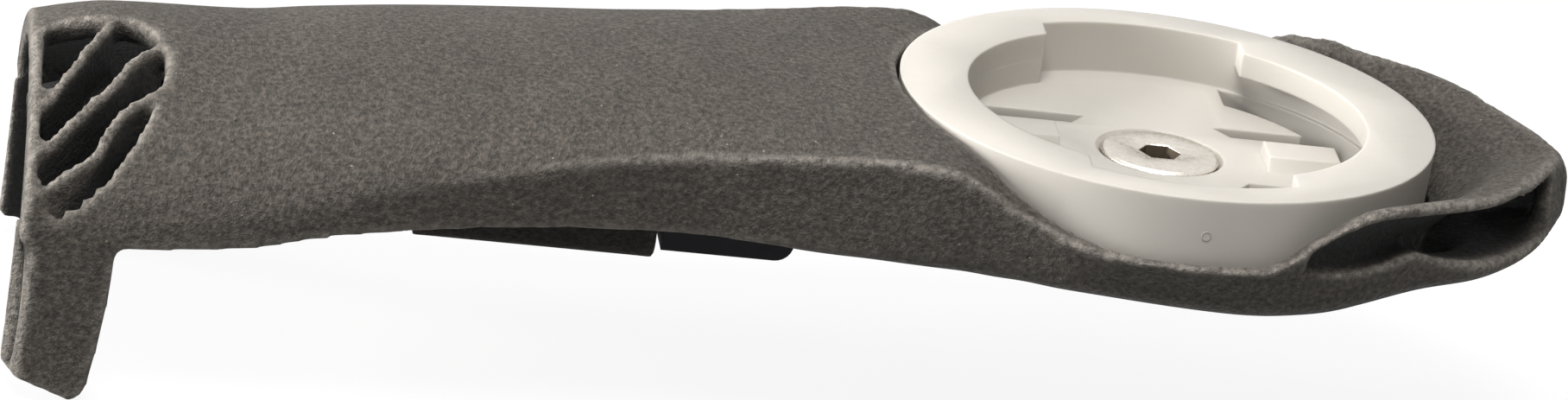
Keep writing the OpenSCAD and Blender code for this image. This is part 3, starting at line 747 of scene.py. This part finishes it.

# %% [markdown]
# All of these solids are joined and remade as one even skin of small quads, as if the
# powder had been fused in one bath. That rounds every edge a little, and a light smoothing
# takes the steps out. The tabs' hollows are cut after it, so their rims stay crisp.
#
# Two values are then kept on the points for the nylon's colour. The first is measured from the shape
# and pales convex edges, partly as wear and partly as a painted highlight. The second is painted shade:
# it is measured with rays, and then set where the photograph is darker than soft light leaves the
# model: at the nose and the rear end, wherever a ray that goes up and outwards is blocked, and over a
# box round the underside of the keel.

# %% One fused skin
SKIN_CELL = 0.36


def join(target, others):
    b = bmesh.new()
    b.from_mesh(target.data)
    for other in others:
        b.from_mesh(other.data)
    b.to_mesh(target.data)
    b.free()
    for other in others:
        bpy.data.objects.remove(other)
    return target


arm = join(arm, [*tabs, floor_piece, keel, carrier, ribs])
remade = arm.modifiers.new("fused", "REMESH")
remade.mode, remade.voxel_size = "VOXEL", SKIN_CELL * MM
arm = bake_down(arm)
arm.data.materials.clear()
arm.data.materials.append(NYLON)
arm.data.shade_smooth()


class Skin:
    """Points of a mesh, with the mean of each point's neighbours."""

    def __init__(self, mesh):
        self.mesh, self.count = mesh, len(mesh.vertices)
        ends = np.empty(len(mesh.edges) * 2, dtype=np.int32)
        mesh.edges.foreach_get("vertices", ends)
        self.a, self.b = ends.reshape(-1, 2).T
        links = np.bincount(self.a, minlength=self.count)
        self.links = np.maximum(links + np.bincount(self.b, minlength=self.count), 1)

    def read(self, what):
        values = np.empty(self.count * 3)
        self.mesh.vertices.foreach_get(what, values)
        return values.reshape(-1, 3)

    def gather(self, at_a, at_b):
        total = np.bincount(self.a, at_a, self.count) + np.bincount(self.b, at_b, self.count)
        return total / self.links

    def mean(self, value):
        return self.gather(value[self.b], value[self.a])


def even_out(mesh, rounds):
    """Smooths ripples away without shrinking the shape: a step in, then a step out."""
    skin = Skin(mesh)
    co = skin.read("co").copy()
    for step in [0.5, -0.52] * rounds:
        for axis in range(3):
            co[:, axis] += step * (skin.mean(co[:, axis]) - co[:, axis])
    mesh.vertices.foreach_set("co", co.ravel())
    mesh.update()


def mark_ridges(mesh, low=0.035, high=0.14):
    """Stores how far each point stands out from its neighbours, as the value ridge."""
    skin = Skin(mesh)
    co, normal = skin.read("co"), skin.read("normal")
    way = co[skin.b] - co[skin.a]
    length = np.maximum(np.linalg.norm(way, axis=1), 1e-9)
    lift = skin.gather(
        -(way * normal[skin.a]).sum(1) / length, (way * normal[skin.b]).sum(1) / length
    )
    for _ in range(2):
        lift = 0.5 * lift + 0.5 * skin.mean(lift)
    worn_edge_and_highlight = np.clip((lift - low) / (high - low), 0.0, 1.0)
    kept = mesh.attributes.new("worn_edge_and_highlight", "FLOAT", "POINT")
    kept.data.foreach_set("value", worn_edge_and_highlight.astype(np.float32))
    return worn_edge_and_highlight


even_out(arm.data, 14)
arm = apply_cuts(arm, [tab_hollow(-1), tab_hollow(1)])
arm.data.shade_smooth()


# Places given painted shade: the nose, the rear end, and a box under the keel.
NOSE_FROM, REAR_UNTIL = 0.007, -0.0655
OUT_AND_UP, SHELTER_REACH, SHELTER_SHADE = (0.45, 0.9), 0.009, 0.82
KEEL_FROM, KEEL_UNTIL, KEEL_UNDER, KEEL_SIDE, KEEL_SHADE = -0.0495, -0.024, -0.0082, 0.0083, 0.66


def paint_hollow_shade(mesh, rays=9, reach_mm=6.0, seed=4):
    """Stores painted shade as the value hollow: a share of blocked directions, and shades set by place.

    The shares are measured. SHELTER_SHADE and KEEL_SHADE are chosen to match the photograph, so these
    places stay dark under any light.
    """
    skin = Skin(mesh)
    co, normal = skin.read("co"), skin.read("normal")
    tree = BVHTree.FromPolygons(
        [tuple(c) for c in co], [tuple(p.vertices) for p in mesh.polygons]
    )
    picks = np.random.default_rng(seed).normal(size=(rays, 3))
    picks /= np.linalg.norm(picks, axis=1)[:, None]
    met = np.zeros(skin.count)
    for pick in picks:
        way = normal * 1.05 + pick
        way /= np.linalg.norm(way, axis=1)[:, None]
        start = co + normal * 0.0002
        for i in range(skin.count):
            if tree.ray_cast(start[i], way[i], reach_mm * MM)[0] is not None:
                met[i] += 1.0 / rays
    # Painted shade wherever a ray up and outwards is blocked, at the nose and the rear end.
    aside, up = OUT_AND_UP
    for i in np.flatnonzero((co[:, 0] > NOSE_FROM) | (co[:, 0] < REAR_UNTIL)):
        out = Vector((0.0, -aside if co[i, 1] < 0 else aside, up))
        if tree.ray_cast(co[i] + normal[i] * 0.0002, out, SHELTER_REACH)[0] is not None:
            met[i] = max(met[i], SHELTER_SHADE)
    # Painted shade over a box round the underside of the keel.
    under = (co[:, 0] > KEEL_FROM) & (co[:, 0] < KEEL_UNTIL) & (co[:, 2] < KEEL_UNDER)
    met[under & (abs(co[:, 1]) < KEEL_SIDE)] = KEEL_SHADE
    for _ in range(3):
        met = 0.4 * met + 0.6 * skin.mean(met)
    kept = mesh.attributes.new("hollow", "FLOAT", "POINT")
    kept.data.foreach_set("value", met.astype(np.float32))
    return met


worn_edge_and_highlight = mark_ridges(arm.data)
hollows = paint_hollow_shade(arm.data)
print("points in hollows:", int((hollows > 0.6).sum()))
print("points on ridges:", int((worn_edge_and_highlight > 0.5).sum()), "of", len(worn_edge_and_highlight))
print("arm skin:", len(arm.data.polygons), "faces")
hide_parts("arm_body")
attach(arm, "root")

# %% [markdown]
# The socket is moulded and the screw is turned, so neither has a sharp edge. Each is a copy
# of its CAD node with a small radius along the edges, and it takes that node's place. Round
# walls get exact radial normals, so that the flat facets of the CAD mesh don't show.


# %% Socket with softened edges
def turned_normals(mesh):
    """Gives the faces that are round about the Z axis exact radial normals."""
    normals = [tuple(c.vector) for c in mesh.corner_normals]
    for face in mesh.polygons:
        fn = face.normal
        if abs(fn.z) > 0.08:
            continue
        for corner in face.loop_indices:
            co = mesh.vertices[mesh.loops[corner].vertex_index].co
            radial = Vector((co.x, co.y, 0.0)).normalized()
            side = fn.x * radial.x + fn.y * radial.y
            if abs(side) > 0.992:
                tilt = Vector((radial.x, radial.y, 0.0)) * (1 if side > 0 else -1)
                tilt.z = fn.z
                normals[corner] = tuple(tilt.normalized())
    mesh.normals_split_custom_set(normals)


def softened(node, name, width_mm, material):
    """Copy of a CAD node with a small radius along its edges."""
    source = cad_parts[node]
    mesh = source.data.copy()
    mesh.transform(source.matrix_world)
    mesh.materials.clear()
    b = bmesh.new()
    b.from_mesh(mesh)
    bmesh.ops.remove_doubles(b, verts=b.verts, dist=2e-6)
    bmesh.ops.dissolve_limit(b, angle_limit=math.radians(0.8), verts=b.verts, edges=b.edges)
    b.to_mesh(mesh)
    b.free()
    piece = new_object(name, mesh, material)
    bevel = piece.modifiers.new("radius", "BEVEL")
    bevel.width, bevel.segments = width_mm * MM, 2
    bevel.limit_method, bevel.angle_limit = "ANGLE", math.radians(30)
    piece = bake_down(piece)
    piece.data.shade_smooth()
    piece.data.set_sharp_from_angle(angle=math.radians(35))
    turned_normals(piece.data)
    b = bmesh.new()
    b.from_mesh(piece.data)
    loose = sum(1 for e in b.edges if not e.is_manifold)
    print(name, "faces", len(b.faces), "open edges", loose, "mm3", round(b.calc_volume() * 1e9, 1))
    b.free()
    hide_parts(node)
    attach(piece, "root")
    return piece


softened("twist_lock_insert", "moulded_socket", 0.16, GREY_PLASTIC)

# %% [markdown]
# Where plastic was fed into the mould, a small ring stays on the socket's outer wall. It
# could be a bump in the material, but a thin ring of its own keeps its edge when seen close.


# %% Gate mark
def gate_mark(angle, radius_mm, z_mm, wide=0.29, thick=0.05, around=28, sides=10):
    """Small ring left on the socket's wall where its plastic was fed in."""
    out = Vector((math.cos(angle), math.sin(angle), 0.0))
    along, up = Vector((-out.y, out.x, 0.0)), Vector((0.0, 0.0, 1.0))
    rings = []
    for i in range(around):
        t = 2 * math.pi * i / around
        way = along * math.cos(t) + up * math.sin(t)
        rings.append([
            out * radius_mm + up * z_mm + way * (wide + thick * math.cos(s))
            + out * (thick * math.sin(s))
            for s in [2 * math.pi * j / sides for j in range(sides)]
        ])
    faces = [
        (i * sides + j, i * sides + (j + 1) % sides,
         (i + 1) % around * sides + (j + 1) % sides, (i + 1) % around * sides + j)
        for i in range(around) for j in range(sides)
    ]
    mesh = bpy.data.meshes.new("gate_mark")
    mesh.from_pydata([tuple(p * MM) for ring in rings for p in ring], [], faces)
    mark = new_object("gate_mark", outward(mesh), GREY_PLASTIC)
    mesh.shade_smooth()
    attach(mark, "root")


gate_mark(math.radians(-88.5), 17.68, -2.47)
print("gate mark made")

# %% [markdown]
# The screw is nickel plated. The walls of its key socket get a darker metal as painted shade: so small
# a hole stays too bright in soft light. The keel plate and the hardware that the photograph doesn't
# show keep their CAD shapes, and only get their finishes.

# %% Screw and finishes of the CAD nodes
HEAD_TOP = -3.4
KEY_R = 1.5
screw = softened("insert_screw", "nickel_screw", 0.1, NICKEL)
# The walls of the key socket take the dark metal as painted shade.
screw.data.materials.append(PAINTED_KEY_SHADE)
inside = 0
for face in screw.data.polygons:
    x, y, z = (c / MM for c in face.center)
    if math.hypot(x, y) < KEY_R and HEAD_TOP - 3 < z < HEAD_TOP - 0.12:
        face.material_index = 1
        inside += 1
print("faces in the key's socket:", inside)


def dress(node, material):
    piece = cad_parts[node]
    piece.data.materials.clear()
    piece.data.materials.append(material)


for node, material in {
    "twist_lock_insert": GREY_PLASTIC, "insert_screw": NICKEL, "insert_nut": STEEL,
    "keel_plate": BLACK_PLASTIC, "plate_screws": BLACK_OXIDE, "thread_inserts": BRASS,
}.items():
    dress(node, material)
print("finished the CAD nodes")

# %% [markdown]
# The studio is plain: a pale floor under the tabs, a broad soft key lamp above and in front,
# a weak one above and behind, a third beyond the rear end, and a dim white world. Rays that
# go straight to the camera, or by way of gloss, see white behind the object, as in the
# cut-out photograph, and a tenth of the floor's own shade keeps the object's shadow.


# %% Studio
def white_stage(name, shadow, bounce):
    m = bpy.data.materials.new(name)
    m.use_nodes = True
    t = m.node_tree
    t.nodes.clear()
    out = t.nodes.new("ShaderNodeOutputMaterial")
    glow = t.nodes.new("ShaderNodeEmission")
    glow.inputs["Strength"].default_value = 1.0
    matt = t.nodes.new("ShaderNodeBsdfDiffuse")
    path = t.nodes.new("ShaderNodeLightPath")
    pale = t.nodes.new("ShaderNodeMix")
    pale.data_type = "RGBA"
    sockets = {i.name: i for i in pale.inputs if i.enabled}
    sockets["A"].default_value = (bounce, bounce, bounce, 1)
    sockets["B"].default_value = (0.9, 0.9, 0.9, 1)
    t.links.new(path.outputs["Is Camera Ray"], sockets["Factor"])
    t.links.new([o for o in pale.outputs if o.enabled][0], matt.inputs["Color"])
    near = t.nodes.new("ShaderNodeMath")
    near.operation = "MAXIMUM"
    part = t.nodes.new("ShaderNodeMath")
    part.operation = "MULTIPLY"
    part.inputs[1].default_value = 1.0 - shadow
    mix = t.nodes.new("ShaderNodeMixShader")
    t.links.new(path.outputs["Is Camera Ray"], near.inputs[0])
    t.links.new(path.outputs["Is Glossy Ray"], near.inputs[1])
    t.links.new(near.outputs[0], part.inputs[0])
    t.links.new(part.outputs[0], mix.inputs["Fac"])
    t.links.new(matt.outputs[0], mix.inputs[1])
    t.links.new(glow.outputs[0], mix.inputs[2])
    t.links.new(mix.outputs[0], out.inputs["Surface"])
    return m


def white_world(strength):
    world = bpy.data.worlds.new("studio_world")
    bpy.context.scene.world = world
    world.use_nodes = True
    t = world.node_tree
    back = t.nodes["Background"]
    path = t.nodes.new("ShaderNodeLightPath")
    seen = path.outputs["Is Camera Ray"]
    for ray in ("Is Glossy Ray", "Is Transmission Ray"):
        either = t.nodes.new("ShaderNodeMath")
        either.operation = "MAXIMUM"
        t.links.new(seen, either.inputs[0])
        t.links.new(path.outputs[ray], either.inputs[1])
        seen = either.outputs[0]
    b = t.nodes.new("ShaderNodeMath")
    b.operation = "MULTIPLY_ADD"
    t.links.new(seen, b.inputs[0])
    b.inputs[1].default_value = 1.0 - strength
    b.inputs[2].default_value = strength
    t.links.new(b.outputs[0], back.inputs["Strength"])
    back.inputs["Color"].default_value = (1, 1, 1, 1)


def soft_lamp(name, place, aim, size, power):
    lamp = bpy.data.lights.new(name, "AREA")
    lamp.shape, lamp.size, lamp.size_y, lamp.energy = "RECTANGLE", size[0], size[1], power
    made = bpy.data.objects.new(name, lamp)
    made.location = place
    made.rotation_euler = (Vector(aim) - Vector(place)).to_track_quat("-Z", "Y").to_euler()
    bpy.context.scene.collection.objects.link(made)


FLOOR_TOP = -22.1
FLOOR_HALF = 3000
ground = slab("studio_floor", -FLOOR_HALF, FLOOR_HALF, FLOOR_HALF, FLOOR_TOP - 1, FLOOR_TOP)
ground.data.materials.append(white_stage("studio_floor", 0.1, 0.28))
white_world(0.10)
middle = (-0.024, 0, -0.006)
soft_lamp("key", (-0.10, -0.30, 0.62), middle, (0.34, 0.30), 5.8)
soft_lamp("top", (-0.06, 0.16, 0.55), middle, (0.40, 0.30), 0.9)
soft_lamp("rear_end", (-0.45, 0.02, 0.10), (-0.07, 0, -0.01), (0.2, 0.2), 4.0)
bpy.context.scene.view_settings.view_transform = "Standard"
print("studio ready")
